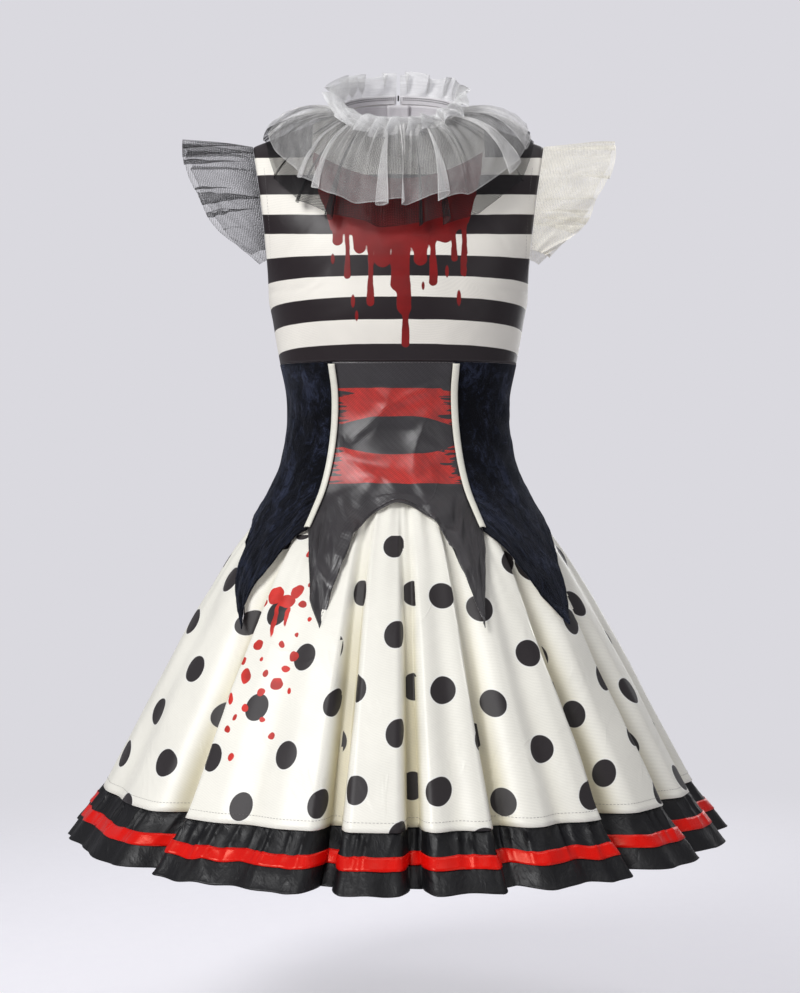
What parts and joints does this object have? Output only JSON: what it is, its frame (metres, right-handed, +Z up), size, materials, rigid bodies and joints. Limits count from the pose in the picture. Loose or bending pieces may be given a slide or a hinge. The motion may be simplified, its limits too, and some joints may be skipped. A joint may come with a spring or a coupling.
{
  "type": "clown costume dress",
  "caption": "Sleeveless clown costume dress, hollow as worn, with a layered net collar, flutter sleeves, pointed waist panels and a gathered skirt with a ruffled hem.",
  "frame": {"origin": "midway between the two shoulder points, where the wearer's shoulders carry the dress", "axes": "+Z up, -Y out of the front of the dress, +X towards the wearer's left shoulder"},
  "size_m": [0.7522, 0.7352, 0.8705],
  "materials": {
    "striped_satin": "printed satin, black and cream stripes",
    "black_satin": "soft sheen satin",
    "navy_velvet": "crushed velvet",
    "cream_piping": "matte piping",
    "dotted_satin": "printed satin, black dots on cream",
    "red_ribbon": "satin ribbon",
    "white_net": "sheer organza and stiff net",
    "black_net": "sheer net",
    "cream_net": "sheer net",
    "zip_tape": "woven tape",
    "zip_metal": "smooth metal"
  },
  "bodies": {
    "dress": {"bodice_front": "striped_satin", "bodice_back_left": "striped_satin", "bodice_back_right": "striped_satin", "waist_front": "black_satin", "waist_side_left": "navy_velvet", "waist_side_right": "navy_velvet", "waist_back_left": "navy_velvet", "waist_back_right": "navy_velvet", "piping_left": "cream_piping", "piping_right": "cream_piping", "skirt_front": "dotted_satin", "skirt_back": "dotted_satin", "hem_ruffle_front": "black_satin", "hem_ruffle_back": "black_satin", "hem_ribbon_front": "red_ribbon", "hem_ribbon_back": "red_ribbon", "neck_band": "zip_tape", "neck_frill": "white_net", "collar_organza_white": "white_net", "collar_net_black": "black_net", "sleeve_right": "black_net", "sleeve_left": "cream_net", "back_zip": "zip_tape", "zip_slider": "zip_metal"},
    "pull": {"zip_pull": "zip_metal"}
  },
  "joints": [
    {"name": "zip_pull_hinge", "type": "hinge", "parent": "dress", "child": "pull", "pos_m": [0, 0.0768, 0.04422], "axis": [1, 0, 0], "range_deg": [0, 150]}
  ]
}
